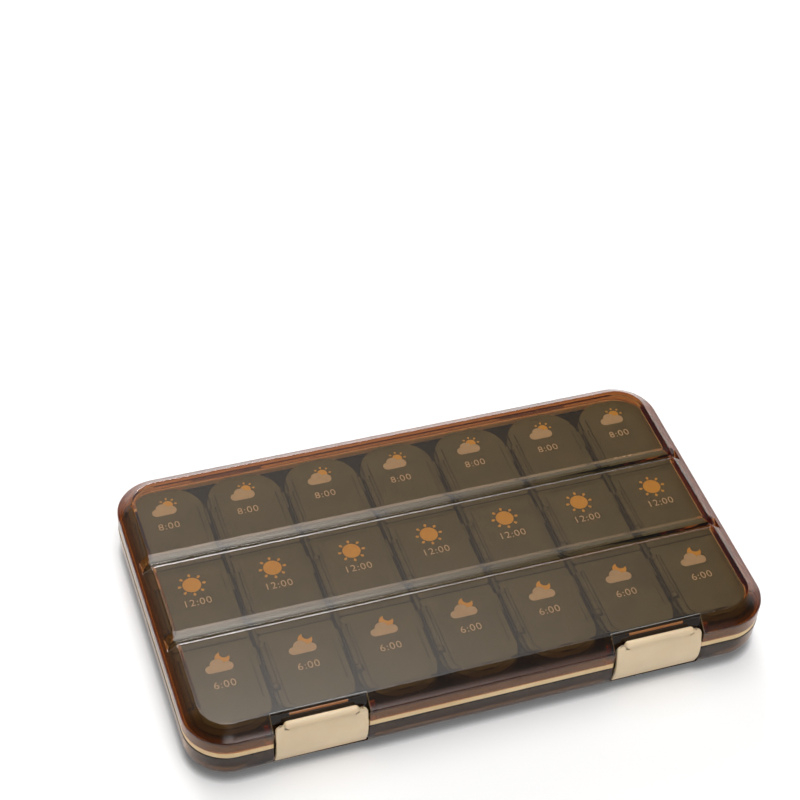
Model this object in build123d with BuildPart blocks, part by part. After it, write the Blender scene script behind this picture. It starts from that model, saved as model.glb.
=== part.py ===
"""Weekly pill organizer: a clear flat case with seven lift-out day boxes of three lidded cells each.

Millimetres. +Z is up, +X runs along the row of days, and the two latches face -Y.
The origin is the middle of the underside of the case.
"""

import os
from math import atan2, cos, degrees, radians, sin

from build123d import *

os.makedirs("parts", exist_ok=True)

# Day boxes: one column a day, one row a dose
days = 7
row_names = ("evening", "midday", "morning")
cell_width = 25.1
cell_length = 35.6
box_wall = 1.2
box_floor = 1.2
box_height = 15.6
box_corner = 12.0
box_foot_radius = 5.8
cell_corner_margin = 0.4
box_gap = 1.5

# Cell lids and their moulded hinges
lid_thickness = 1.4
lid_seat_gap = 0.2
lid_edge_inset = 0.2
lid_row_gap = 0.5
lid_vertex_radius = 1.2
raised_inset = 2.2
raised_height = 0.4
tab_length = 8.0
tab_reach = 1.0
tab_thickness = 0.9
tab_root = 1.0
tab_shifts = (10.4, 7.7, 3.1)
knuckle_radius = 1.15
stub_radius = 0.6
stub_clearance = 0.07
stub_reach = 1.5
ear_width = 2.0
ear_spacing = 18.0
ear_side_gap = 0.2
ear_notch_gap = 0.3
ear_drop = 1.6
end_hinge_shift = 4.5

# Case shells
base_wall = 1.8
base_floor = 1.8
base_height = 13.25
base_taper = 0.5
base_foot_radius = 8.0
side_clearance = 1.17
end_clearance = 0.65
case_corner = 15.3
lid_wall = 1.6
headroom = 4.4
ledge_inset = 2.0
ledge_rise = 1.3
shoulder_inset = 3.3
shoulder_rise = 2.8
panel_edge_radius = 0.8
skirt_edge_radius = 0.7

# Grooves that part the case lid into three panels
groove_width = 5.8
groove_depth = 1.9
groove_wall = 1.3
groove_round = 2.4
groove_y = (-16.25, 19.35)
notch_depth = 1.6

# Locating posts between the day boxes
post_radius = 1.0
post_y = 48.6
post_headroom = 2.6

# Seal between the shells
seam_height = 2.5
seal_squeeze_gap = 0.15
seal_inset = 0.15
seal_tongue_width = 0.6
seal_tongue_depth = 0.8
seal_tongue_inset = 0.6
seal_groove_clearance = 0.05

# Latches and their pockets
latch_spacing = 120.7
latch_width = 31.7
latch_side_gap = 0.6
latch_plate = 1.5
latch_pivot_z = 5.6
latch_pivot_depth = 2.0
latch_barrel_radius = 1.1
latch_pin_radius = 0.6
latch_pin_clearance = 0.05
latch_pin_reach = 2.0
latch_bulge = 1.0
latch_bow_rise = -0.8
latch_shoulder_drop = 2.0
latch_shoulder_inset = 0.05
latch_crown_inset = 0.45
latch_crown_drop = 0.2
latch_crown_flat = 0.5
latch_top_rise = 0.3
latch_foot_back = 0.3
latch_foot_rise = 0.6
latch_pocket_foot = 3.0
pocket_depth = 3.3
pocket_wall = 1.0
pocket_cheek = 2.6
pocket_lip = 0.15
pocket_lip_drop = 1.1
pocket_slope_drop = 3.6
catch_reach = 0.9
catch_height = 0.9
catch_width = 25.0
catch_below_ledge = 0.9
hook_gap = 0.25
hook_height = 1.1
hook_back_gap = 0.2
hook_nose = 0.4
bead_length = 25.7
bead_radius = 1.35
bead_y_inset = 1.4
bead_rise = 0.95
lip_rib_width = 21.0
lip_rib_height = 0.5
lip_rib_reach = 0.5

# Case hinge
hinge_spacing = 120.7
hinge_barrel_radius = 2.0
hinge_wall_gap = 0.2
hinge_pin_radius = 0.9
hinge_pin_clearance = 0.06
hinge_lid_knuckle = 12.0
hinge_base_knuckle = 6.6
hinge_knuckle_gap = 0.4
hinge_arm_drop = 5.5
hinge_arm_rise = 4.0
hinge_arm_slope = 37.8

# Tolerance for picking edges at one height, and how far a cut runs past what it cuts
pick_tolerance = 0.01
overcut = 1.0

# Sizes that follow from the ones above
rows = len(row_names)
box_width = cell_width + 2 * box_wall
box_length = rows * cell_length + (rows + 1) * box_wall
column_pitch = box_width + box_gap
row_pitch = cell_length + box_wall
box_top = base_floor + box_height
inner_length = days * column_pitch - box_gap
case_length = inner_length + 2 * (side_clearance + base_wall + base_taper)
case_width = box_length + 2 * (end_clearance + pocket_wall + pocket_depth)
case_height = box_top + lid_seat_gap + lid_thickness + headroom + lid_wall
half_width = case_width / 2
lid_bottom = base_height + seam_height
skirt_top = case_height - shoulder_rise - ledge_rise
ledge_top = skirt_top + ledge_rise
skirt_height = skirt_top - lid_bottom
panel_inset = ledge_inset + shoulder_inset
day_x = [column_pitch * (day - (days - 1) / 2) for day in range(days)]
row_y = [row_pitch * (row - (rows - 1) / 2) for row in range(rows)]
latch_x = (-latch_spacing / 2, latch_spacing / 2)
hinge_x = (-hinge_spacing / 2, hinge_spacing / 2)
side_names = ("left", "right")
pocket_back = -half_width + pocket_depth
pocket_inner = pocket_back + pocket_wall
pocket_width = latch_width + 2 * latch_side_gap
housing_width = pocket_width + 2 * pocket_cheek
hinge_y = half_width + hinge_barrel_radius + hinge_wall_gap
hinge_z = base_height + seam_height / 2
hinge_length = hinge_lid_knuckle + 2 * (hinge_knuckle_gap + hinge_base_knuckle)
hinge_arm_y = hinge_y + hinge_barrel_radius * cos(radians(hinge_arm_slope))
hinge_arm_z = hinge_barrel_radius * sin(radians(hinge_arm_slope))
cell_lid_bottom = box_top + lid_seat_gap
knuckle_z = cell_lid_bottom + knuckle_radius
stub_hole_radius = stub_radius + stub_clearance
hinge_arm_root = seal_tongue_inset - 2 * seal_groove_clearance
cell_floor_radius = box_foot_radius - box_wall
cell_corner_radius = cell_floor_radius + cell_corner_margin


def keep(shape, name):
    """Name a finished piece and write it."""
    shape.label = name
    export_step(shape, f"parts/{name}.step")


def base_form(inset, bottom, foot_radius):
    """A tapered tub whose upright sides turn under into a flat bottom."""
    slope = degrees(atan2(base_taper, base_height))
    with BuildPart() as form:
        with BuildSketch(Plane.XY.offset(base_height)):
            RectangleRounded(case_length - 2 * inset, case_width - 2 * inset, case_corner - inset)
        extrude(amount=-(base_height - bottom), taper=slope)
        fillet(form.faces().sort_by(Axis.Z)[0].edges(), foot_radius)
    return form.part


def lid_form(inset, top):
    """The outside of the case lid: an upright skirt, a ledge, a steep shoulder and a flat panel."""
    length = case_length - 2 * inset
    width = case_width - 2 * inset
    radius = case_corner - inset
    drop = case_height - top
    with BuildPart() as form:
        with BuildSketch(Plane.XY.offset(lid_bottom)):
            RectangleRounded(length, width, radius)
        extrude(amount=skirt_height - drop)
        with BuildSketch(Plane.XY.offset(skirt_top - drop)):
            RectangleRounded(length, width, radius)
        with BuildSketch(Plane.XY.offset(ledge_top - drop)):
            RectangleRounded(length - 2 * ledge_inset, width - 2 * ledge_inset, radius - ledge_inset)
        loft(ruled=True)
        with BuildSketch(Plane.XY.offset(ledge_top - drop)):
            RectangleRounded(length - 2 * ledge_inset, width - 2 * ledge_inset, radius - ledge_inset)
        with BuildSketch(Plane.XY.offset(top)):
            RectangleRounded(length - 2 * panel_inset, width - 2 * panel_inset, radius - panel_inset)
        loft(ruled=True)
    return form.part


def front_block(width, near_y, far_y, low, high):
    """A pair of blocks, one behind each latch, from near_y back to far_y."""
    with BuildPart() as block:
        with BuildSketch(Plane.XY.offset(low)):
            with Locations(*[(x, (near_y + far_y) / 2) for x in latch_x]):
                Rectangle(width, far_y - near_y)
        extrude(amount=high - low)
    return block.part


def groove_form(width, depth, top):
    """V-shaped bars along X with a rounded foot, one near each wall between two rows of cells."""
    with BuildPart() as bars:
        for y in groove_y:
            with BuildSketch(Plane.YZ.offset(-case_length / 2)) as section:
                with BuildLine():
                    Polyline((y - width / 2, top), (y, top - depth), (y + width / 2, top), close=True)
                make_face()
                fillet(section.vertices().sort_by(Axis.Y)[0], groove_round)
            extrude(amount=case_length)
    return bars.part


def notch_form():
    """Short V-shaped bars that carry each groove down the shoulder at both ends."""
    with BuildPart() as bars:
        for y in groove_y:
            for side in (-1, 1):
                foot = Vector(side * (case_length / 2 - ledge_inset), y, ledge_top)
                head = Vector(side * (case_length / 2 - panel_inset), y, case_height)
                run = Plane(origin=foot, x_dir=(0, 1, 0), z_dir=head - foot)
                inward = -1 if run.y_dir.X * side > 0 else 1
                with BuildSketch(run):
                    with BuildLine():
                        Polyline(
                            (-groove_width / 2, -inward * notch_depth),
                            (-groove_width / 2, 0),
                            (0, inward * notch_depth),
                            (groove_width / 2, 0),
                            (groove_width / 2, -inward * notch_depth),
                            close=True,
                        )
                    make_face()
                extrude(amount=(head - foot).length + panel_edge_radius)
    return bars.part


# Outer base: tub, latch pockets, hinge knuckles and locating posts
with BuildPart() as cavity:
    add(base_form(base_wall, base_floor, base_foot_radius - base_wall))
    add(
        front_block(housing_width, -half_width, pocket_inner, 0, base_height),
        mode=Mode.SUBTRACT,
    )

with BuildPart() as outer_base:
    add(base_form(0, 0, base_foot_radius))
    add(cavity.part, mode=Mode.SUBTRACT)
    add(
        front_block(pocket_width, -half_width - overcut, pocket_back, latch_pocket_foot, base_height),
        mode=Mode.SUBTRACT,
    )
    with BuildSketch(Plane.XY.offset(base_height)):
        RectangleRounded(
            case_length - 2 * (seal_tongue_inset - seal_groove_clearance),
            case_width - 2 * (seal_tongue_inset - seal_groove_clearance),
            case_corner - seal_tongue_inset + seal_groove_clearance,
        )
        RectangleRounded(
            case_length - 2 * (seal_tongue_inset + seal_tongue_width + seal_groove_clearance),
            case_width - 2 * (seal_tongue_inset + seal_tongue_width + seal_groove_clearance),
            case_corner - seal_tongue_inset - seal_tongue_width - seal_groove_clearance,
            mode=Mode.SUBTRACT,
        )
        with Locations(*[(x, -half_width) for x in latch_x]):
            Rectangle(housing_width, 2 * pocket_depth, mode=Mode.SUBTRACT)
    extrude(amount=-(seal_tongue_depth + seal_groove_clearance), mode=Mode.SUBTRACT)
    with BuildSketch(Plane.XY.offset(base_floor)):
        with Locations(*[(x + column_pitch / 2, post_y) for x in day_x[:-1]]):
            Circle(post_radius)
    extrude(amount=box_height - post_headroom)
    for x in hinge_x:
        for side in (-1, 1):
            start = side * (hinge_lid_knuckle / 2 + hinge_knuckle_gap)
            end = start + side * hinge_base_knuckle
            with BuildSketch(Plane.YZ.offset(x + min(start, end))):
                with BuildLine():
                    Polyline(
                        (half_width - hinge_arm_root, base_height),
                        (hinge_y, base_height),
                        (hinge_arm_y, hinge_z - hinge_arm_z),
                        (half_width - hinge_arm_root, base_height - hinge_arm_drop),
                        close=True,
                    )
                make_face()
                with Locations((hinge_y, hinge_z)):
                    Circle(hinge_barrel_radius)
            extrude(amount=hinge_base_knuckle)
        with BuildSketch(Plane.YZ.offset(x - hinge_length / 2)):
            with Locations((hinge_y, hinge_z)):
                Circle(hinge_pin_radius + hinge_pin_clearance)
        extrude(amount=hinge_length, mode=Mode.SUBTRACT)
    for x in latch_x:
        pin_half = pocket_width / 2 + latch_pin_reach
        with BuildSketch(Plane.YZ.offset(x - pin_half)):
            with Locations((-half_width + latch_pivot_depth, latch_pivot_z)):
                Circle(latch_pin_radius + latch_pin_clearance)
        extrude(amount=2 * pin_half, mode=Mode.SUBTRACT)
keep(outer_base.part, "outer_base")

# Seal: a soft ring that shows as a pale stripe between the shells
seal_top = lid_bottom - seal_squeeze_gap
with BuildPart() as seal:
    with BuildSketch(Plane.XY.offset(base_height)):
        RectangleRounded(case_length - 2 * seal_inset, case_width - 2 * seal_inset, case_corner - seal_inset)
        RectangleRounded(
            case_length - 2 * base_wall,
            case_width - 2 * base_wall,
            case_corner - base_wall,
            mode=Mode.SUBTRACT,
        )
        with Locations(*[(x, (-half_width + base_wall + pocket_inner) / 2) for x in latch_x]):
            Rectangle(housing_width, pocket_inner + half_width - base_wall)
        with Locations(*[(x, -half_width) for x in latch_x]):
            Rectangle(pocket_width, 2 * pocket_depth, mode=Mode.SUBTRACT)
    extrude(amount=seal_top - base_height)
    with BuildSketch(Plane.XY.offset(base_height)):
        RectangleRounded(
            case_length - 2 * seal_tongue_inset,
            case_width - 2 * seal_tongue_inset,
            case_corner - seal_tongue_inset,
        )
        RectangleRounded(
            case_length - 2 * (seal_tongue_inset + seal_tongue_width),
            case_width - 2 * (seal_tongue_inset + seal_tongue_width),
            case_corner - seal_tongue_inset - seal_tongue_width,
            mode=Mode.SUBTRACT,
        )
        with Locations(*[(x, -half_width) for x in latch_x]):
            Rectangle(housing_width + 2 * seal_groove_clearance, 2 * pocket_depth, mode=Mode.SUBTRACT)
    extrude(amount=-seal_tongue_depth)
keep(seal.part, "seal_ring")

# Outer lid: thin shell with two grooves, pockets over the latches and hinge knuckles
groove_roof = groove_depth + groove_wall * (1 + (2 * groove_depth / groove_width) ** 2) ** 0.5 - lid_wall
with BuildPart() as lid_cavity:
    add(lid_form(lid_wall, case_height - lid_wall))
    roof = case_height - lid_wall
    ridge_width = groove_width * groove_roof / groove_depth
    add(groove_form(ridge_width, groove_roof, roof), mode=Mode.SUBTRACT)
    add(
        front_block(housing_width, -half_width, pocket_inner, lid_bottom, case_height),
        mode=Mode.SUBTRACT,
    )

lip_y = -half_width + panel_inset - pocket_lip
catch_top = ledge_top - catch_below_ledge
catch_tip = pocket_back - catch_reach
catch_root = pocket_back + pocket_wall / 2
rib_top = case_height - pocket_lip_drop
with BuildPart() as outer_lid:
    add(lid_form(0, case_height))
    outer_edges = outer_lid.edges()
    skirt_ring = outer_edges.filter_by_position(Axis.Z, skirt_top - pick_tolerance, skirt_top + pick_tolerance)
    fillet(skirt_ring, skirt_edge_radius)
    fillet(outer_lid.faces().sort_by(Axis.Z)[-1].edges(), panel_edge_radius)
    add(lid_cavity.part, mode=Mode.SUBTRACT)
    add(groove_form(groove_width, groove_depth, case_height), mode=Mode.SUBTRACT)
    add(notch_form(), mode=Mode.SUBTRACT)
    for x in latch_x:
        with BuildSketch(Plane.YZ.offset(x - pocket_width / 2)):
            with BuildLine():
                Polyline(
                    (-half_width - overcut, lid_bottom),
                    (pocket_back, lid_bottom),
                    (pocket_back, case_height - pocket_slope_drop),
                    (lip_y, case_height - pocket_lip_drop),
                    (lip_y, case_height + overcut),
                    (-half_width - overcut, case_height + overcut),
                    close=True,
                )
            make_face()
        extrude(amount=pocket_width, mode=Mode.SUBTRACT)
        with BuildSketch(Plane.YZ.offset(x - catch_width / 2)):
            with BuildLine():
                Polyline(
                    (catch_root, catch_top),
                    (catch_tip, catch_top),
                    (catch_tip, catch_top - catch_height / 2),
                    (pocket_back, catch_top - 2 * catch_height),
                    (catch_root, catch_top - 2 * catch_height),
                    close=True,
                )
            make_face()
        extrude(amount=catch_width)
        with BuildSketch(Plane.YZ.offset(x - lip_rib_width / 2)):
            with Locations((lip_y, rib_top - lip_rib_height / 2)):
                Rectangle(2 * lip_rib_reach, lip_rib_height)
        extrude(amount=lip_rib_width)
    for x in hinge_x:
        with BuildSketch(Plane.YZ.offset(x - hinge_lid_knuckle / 2)):
            with BuildLine():
                Polyline(
                    (half_width - hinge_arm_root, lid_bottom),
                    (hinge_y, lid_bottom),
                    (hinge_arm_y, hinge_z + hinge_arm_z),
                    (half_width - hinge_arm_root, lid_bottom + hinge_arm_rise),
                    close=True,
                )
            make_face()
            with Locations((hinge_y, hinge_z)):
                Circle(hinge_barrel_radius)
        extrude(amount=hinge_lid_knuckle)
        with BuildSketch(Plane.YZ.offset(x - hinge_lid_knuckle / 2)):
            with Locations((hinge_y, hinge_z)):
                Circle(hinge_pin_radius + hinge_pin_clearance)
        extrude(amount=hinge_lid_knuckle, mode=Mode.SUBTRACT)
keep(outer_lid.part, "outer_lid")

# Hinge pins: one through each pair of knuckles
for name, x in zip(side_names, hinge_x):
    with BuildPart() as hinge_pin:
        with BuildSketch(Plane.YZ.offset(x - hinge_length / 2)):
            with Locations((hinge_y, hinge_z)):
                Circle(hinge_pin_radius)
        extrude(amount=hinge_length)
    keep(hinge_pin.part, f"hinge_pin_{name}")

# Latches: bowed plates that turn on a low pin and hook over the lid's catch
pivot_y = -half_width + latch_pivot_depth
face_y = -half_width - latch_bulge
bow_z = (latch_pivot_z + skirt_top) / 2 + latch_bow_rise
shoulder_z = skirt_top - latch_shoulder_drop
plate_top = ledge_top + latch_top_rise
hook_low = catch_top + hook_gap
hook_tip = pocket_back - hook_back_gap
bead_z = hook_low + bead_rise
bead_y = -half_width + bead_y_inset
for name, x in zip(side_names, latch_x):
    with BuildPart() as latch:
        with BuildSketch(Plane.YZ.offset(x - latch_width / 2)):
            with BuildLine():
                outer = ThreePointArc(
                    (pivot_y - latch_barrel_radius, latch_pivot_z),
                    (face_y, bow_z),
                    (-half_width + latch_shoulder_inset, shoulder_z),
                )
                crown = ThreePointArc(
                    outer @ 1,
                    (-half_width + latch_crown_inset, skirt_top - latch_crown_drop),
                    (bead_y, plate_top),
                )
                back = Polyline(
                    crown @ 1,
                    (bead_y + latch_crown_flat, plate_top),
                    (-half_width + latch_plate, shoulder_z),
                )
                inner = ThreePointArc(
                    back @ 1,
                    (face_y + latch_plate, bow_z),
                    (pivot_y + latch_foot_back, latch_pivot_z + latch_foot_rise),
                )
                Line(inner @ 1, outer @ 0)
            make_face()
            with Locations((pivot_y, latch_pivot_z)):
                Circle(latch_barrel_radius)
        extrude(amount=latch_width)
        with BuildSketch(Plane.YZ.offset(x)):
            with BuildLine():
                Polyline(
                    (bead_y, hook_low),
                    (hook_tip, hook_low),
                    (hook_tip, hook_low + hook_height / 2),
                    (hook_tip - hook_nose, hook_low + hook_height),
                    (bead_y, hook_low + hook_height),
                    close=True,
                )
            make_face()
        extrude(amount=bead_length / 2 - bead_radius, both=True)
        with BuildSketch(Plane.YZ.offset(x)):
            with Locations((bead_y, bead_z)):
                Circle(bead_radius)
        extrude(amount=bead_length / 2 - bead_radius, both=True)
        with Locations(*[(x + end * (bead_length / 2 - bead_radius), bead_y, bead_z) for end in (-1, 1)]):
            Sphere(bead_radius)
        with BuildSketch(Plane.YZ.offset(x - latch_width / 2)):
            with Locations((pivot_y, latch_pivot_z)):
                Circle(latch_pin_radius + latch_pin_clearance)
        extrude(amount=latch_width, mode=Mode.SUBTRACT)
    keep(latch.part, f"latch_{name}")

    with BuildPart() as latch_pin:
        with BuildSketch(Plane.YZ.offset(x - pocket_width / 2 - latch_pin_reach)):
            with Locations((pivot_y, latch_pivot_z)):
                Circle(latch_pin_radius)
        extrude(amount=pocket_width + 2 * latch_pin_reach)
    keep(latch_pin.part, f"latch_pin_{name}")

# Where each row's lid starts, ends and hinges along Y
row_low = [y - row_pitch / 2 + lid_row_gap / 2 for y in row_y]
row_high = [y + row_pitch / 2 - lid_row_gap / 2 for y in row_y]
row_low[0] = -box_length / 2 + lid_edge_inset
row_high[-1] = box_length / 2 - lid_edge_inset
hinge_row_y = list(row_y)
hinge_row_y[0] += end_hinge_shift
hinge_row_y[-1] -= end_hinge_shift


def lid_face(x, row, inset, height):
    """The plan of one cell lid, drawn in from its edge by inset."""
    low = row_low[row] + inset
    high = row_high[row] - inset
    axis_x = x - box_width / 2 + knuckle_radius + inset
    right = x + box_width / 2 - lid_edge_inset - inset
    with BuildSketch(Plane.XY.offset(height)) as face:
        with Locations((x, 0)):
            RectangleRounded(
                box_width - 2 * (lid_edge_inset + inset),
                box_length - 2 * (lid_edge_inset + inset),
                box_corner - lid_edge_inset - inset,
            )
        with Locations(((axis_x + right) / 2, (low + high) / 2)):
            Rectangle(right - axis_x, high - low, mode=Mode.INTERSECT)
        inner_ends = [end for end in (low, high) if abs(end) < box_length / 2 - box_corner]
        for end in inner_ends:
            square = face.vertices().filter_by_position(Axis.Y, end - pick_tolerance, end + pick_tolerance)
            fillet(square, lid_vertex_radius)
    return face.sketch


def cell_form(x):
    """The hollows of one day box, with rounded corners and floors."""
    with BuildPart() as hollows:
        with BuildSketch(Plane.XY.offset(box_top)) as mouths:
            with Locations((x, 0)):
                RectangleRounded(cell_width, box_length - 2 * box_wall, box_corner - box_wall)
            wall_y = [(low + high) / 2 for low, high in zip(row_y, row_y[1:])]
            with Locations(*[(x, y) for y in wall_y]):
                Rectangle(cell_width, box_wall, mode=Mode.SUBTRACT)
            for y in wall_y:
                fillet(mouths.vertices().filter_by_position(Axis.Y, y - box_wall, y + box_wall), cell_corner_radius)
        extrude(amount=-(box_height - box_floor))
        cell_floor = base_floor + box_floor
        edges = hollows.edges()
        floor_ring = edges.filter_by_position(Axis.Z, cell_floor - pick_tolerance, cell_floor + pick_tolerance)
        fillet(floor_ring, cell_floor_radius)
    return hollows.part


# Day boxes, each with three cells and a pair of hinge ears beside each cell
for day, x in enumerate(day_x, start=1):
    axis_x = x - box_width / 2 + knuckle_radius
    with BuildPart() as day_box:
        with BuildSketch(Plane.XY.offset(base_floor)):
            with Locations((x, 0)):
                RectangleRounded(box_width, box_length, box_corner)
        extrude(amount=box_height)
        fillet(day_box.faces().sort_by(Axis.Z)[0].edges(), box_foot_radius)
        add(cell_form(x), mode=Mode.SUBTRACT)
        for y in hinge_row_y:
            for side in (-1, 1):
                ear_y = y + side * ear_spacing / 2
                with BuildSketch(Plane.XZ.offset(-(ear_y + ear_width / 2))):
                    with Locations((axis_x, knuckle_z)):
                        Circle(knuckle_radius)
                    with Locations((axis_x, knuckle_z - ear_drop)):
                        Rectangle(2 * knuckle_radius, 2 * ear_drop)
                    with Locations((axis_x, knuckle_z)):
                        Circle(stub_hole_radius, mode=Mode.SUBTRACT)
                extrude(amount=ear_width)
    keep(day_box.part, f"day_box_{day}")

    for row, row_name in enumerate(row_names):
        hinge_centre = hinge_row_y[row]
        with BuildPart() as cell_lid:
            add(lid_face(x, row, 0, cell_lid_bottom))
            extrude(amount=lid_thickness)
            ear_notch = ear_width + 2 * ear_notch_gap
            with BuildSketch(Plane.XY.offset(cell_lid_bottom)):
                with Locations(*[(axis_x, hinge_centre + side * ear_spacing / 2) for side in (-1, 1)]):
                    Rectangle(2 * (knuckle_radius + ear_notch_gap), ear_notch)
            extrude(amount=lid_thickness, mode=Mode.SUBTRACT)
            barrel_half = ear_spacing / 2 - ear_width / 2 - ear_side_gap
            with BuildSketch(Plane.XZ.offset(-(hinge_centre + barrel_half))):
                with Locations((axis_x, knuckle_z)):
                    Circle(knuckle_radius)
            extrude(amount=2 * barrel_half)
            stub_half = barrel_half + ear_side_gap + stub_reach
            with BuildSketch(Plane.XZ.offset(-(hinge_centre + stub_half))):
                with Locations((axis_x, knuckle_z)):
                    Circle(stub_radius)
            extrude(amount=2 * stub_half)
            tab_x = x + box_width / 2 - lid_edge_inset + (tab_reach - tab_root) / 2
            with BuildSketch(Plane.XY.offset(cell_lid_bottom)):
                with Locations((tab_x, row_y[row] + tab_shifts[row])):
                    Rectangle(tab_reach + tab_root, tab_length)
            extrude(amount=tab_thickness)
            add(lid_face(x, row, raised_inset, cell_lid_bottom + lid_thickness))
            extrude(amount=raised_height)
        keep(cell_lid.part, f"cell_lid_{day}_{row_name}")
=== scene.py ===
"""Looks of the weekly pill organizer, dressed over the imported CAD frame.

Lengths are named in millimetres and turned into metres where a mesh is made. The frame is the
CAD's own: +X along the days, +Y from the latches to the hinges, +Z up, with the ground at zero.
"""

import logging
import math
from dataclasses import dataclass, field
from enum import Enum
from typing import Iterable, Sequence

import bmesh
import bpy
from mathutils import Matrix, Vector


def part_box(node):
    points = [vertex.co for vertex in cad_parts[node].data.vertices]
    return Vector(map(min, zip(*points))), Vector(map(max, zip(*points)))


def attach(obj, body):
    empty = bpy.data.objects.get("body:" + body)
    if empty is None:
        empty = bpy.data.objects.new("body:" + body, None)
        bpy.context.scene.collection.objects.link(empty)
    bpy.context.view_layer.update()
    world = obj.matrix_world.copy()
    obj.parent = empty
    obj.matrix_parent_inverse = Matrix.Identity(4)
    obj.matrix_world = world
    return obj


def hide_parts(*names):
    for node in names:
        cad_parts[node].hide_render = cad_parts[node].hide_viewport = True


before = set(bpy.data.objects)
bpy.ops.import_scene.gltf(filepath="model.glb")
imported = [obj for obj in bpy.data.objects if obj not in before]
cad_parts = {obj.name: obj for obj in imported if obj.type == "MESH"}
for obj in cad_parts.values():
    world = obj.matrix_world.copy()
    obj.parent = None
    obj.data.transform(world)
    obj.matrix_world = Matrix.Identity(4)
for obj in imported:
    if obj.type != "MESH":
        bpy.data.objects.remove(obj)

logging.basicConfig(level=logging.INFO, format="%(levelname)s %(message)s")
LOG = logging.getLogger("pill_organizer")

MM = 0.001
DAYS = range(1, 8)
SIDES = ("left", "right")

MERGE_DISTANCE = 0.001 * MM
FLAT_ANGLE = math.radians(0.6)
NOISE_SPAN = (0.3, 0.7)
BUMP_STRENGTH = 0.6

Color = tuple[float, float, float]
Span = tuple[float, float]
Band = tuple[float, float, float, float]
Point = tuple[float, float, float]
Socket = bpy.types.NodeSocket


class Row(Enum):
    """The three doses of a day, from the latches to the hinges."""

    EVENING = "evening"
    MIDDAY = "midday"
    MORNING = "morning"


@dataclass(frozen=True)
class ClearFinish:
    """A clear tinted plastic: what it takes from light along its way, and its surface.

    Its gloss varies in patches, so many times finer than its waves. It is rough at most as named,
    and at least by the smoothest share of that.
    """

    absorption: Color
    density: float
    shadow_tint: Color
    roughness: float
    ior: float
    wave_height: float
    wave_scale: float
    patches: float = 4.0
    smoothest: float = 0.6


@dataclass(frozen=True)
class RimTint:
    """How the lid's rim, skirt, latch pockets and ribs differ from its clear top.

    Places are in millimetres from the case's middle. A span's first end is where a part of the
    lid begins to take its tint, and its second end is where it has all of it. Light and shade are
    painted in: painted shade darkens the front rim and fills the latch pockets, and a painted glow
    deepens the skirt and lights the ribs in the pockets.
    """

    half_length: float = 104.22
    half_depth: float = 60.75
    corner: float = 15.3
    inset: Span = (-5.7, -5.0)
    color: Color = (0.88, 0.68, 0.42)
    # Painted shade: the front rim darkens to its own colour from the first y to the second.
    front: Span = (-46.0, -50.0)
    front_shade_color: Color = (0.48, 0.33, 0.17)
    skirt: Span = (20.4, 19.7)
    # The skirt's own amber plastic, made milky and deeper as a painted glow of light passing inside it.
    skirt_glow_color: Color = (0.50, 0.22, 0.05)
    skirt_glow_milkiness: float = 0.18
    pocket_middle: float = 60.35
    pocket_reach: Span = (16.9, 16.4)
    pocket_front: Span = (-54.9, -55.4)
    # Painted shade: the recessed latch pockets are painted near-black and made nearly opaque.
    pocket_shade_color: Color = (0.012, 0.007, 0.004)
    pocket_shade_milkiness: float = 0.9
    rib_reach: Span = (10.2, 9.8)
    rib_band: Band = (23.1, 23.25, 23.85, 24.0)
    # Painted glow: the amber rib in each pocket is painted as a lit orange line.
    rib_glow_color: Color = (0.50, 0.20, 0.06)


@dataclass(frozen=True)
class WallTint:
    """How the tub is painted with shade, darker at the front and lighter amber behind a line, in millimetres.
    """

    # Painted shade: the darker front colour, and the lighter amber colour behind the line.
    front_shade_color: Color = (0.34, 0.27, 0.17)
    color: Color = (0.95, 0.80, 0.50)
    behind: Span = (-50.0, -46.0)


@dataclass(frozen=True)
class SolidFinish:
    """A plastic, rubber, metal or ink that light doesn't pass, or passes only in part.

    Scales are per metre. The grain's height, the band along z of the painted step shade and the
    subsurface depth are in millimetres. The roughness grows with the mottling, up to dullest times as much.
    """

    color: Color
    second_color: Color
    mottle_scale: float
    roughness: float
    grain_scale: float
    grain_height: float
    alpha: float = 1.0
    metallic: float = 0.0
    dullest: float = 1.25
    subsurface: float = 0.0
    subsurface_radius: Color = (1.0, 0.5, 0.25)
    subsurface_depth: float = 1.2
    # Painted edge shade: a deeper orange where the surface turns from the view.
    edge_shade_color: Color | None = None
    edge_blend: float = 0.25
    edge_span: Span = (0.35, 0.95)
    edge_share: float = 0.8
    # Painted shade: a dark band along z, for the sides of a raised step.
    step_shade_band: Band | None = None
    line_color: Color = (0.0, 0.0, 0.0)


@dataclass(frozen=True)
class CameraFit:
    """The view of the photograph, as solved from the straight edges and the printed marks."""

    place: tuple[float, float, float] = (-191.259, -445.121, 564.936)
    forward: tuple[float, float, float] = (0.26021, 0.66807, -0.69712)
    up: tuple[float, float, float] = (0.18504, 0.6741, 0.71508)
    lens: float = 92.264
    sensor: float = 36.0


@dataclass(frozen=True)
class EdgeRounding:
    """How a CAD-shaped piece gets its moulded edges, in millimetres and degrees.

    Edges that bend by more than the least bend and are at least as long as the shortest are
    rounded. Corners that the rounding leaves on one spot are welded.
    """

    width: float = 0.25
    segments: int = 2
    least_bend: float = 32.0
    shortest: float = 0.0
    weld: float = 0.002


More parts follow.
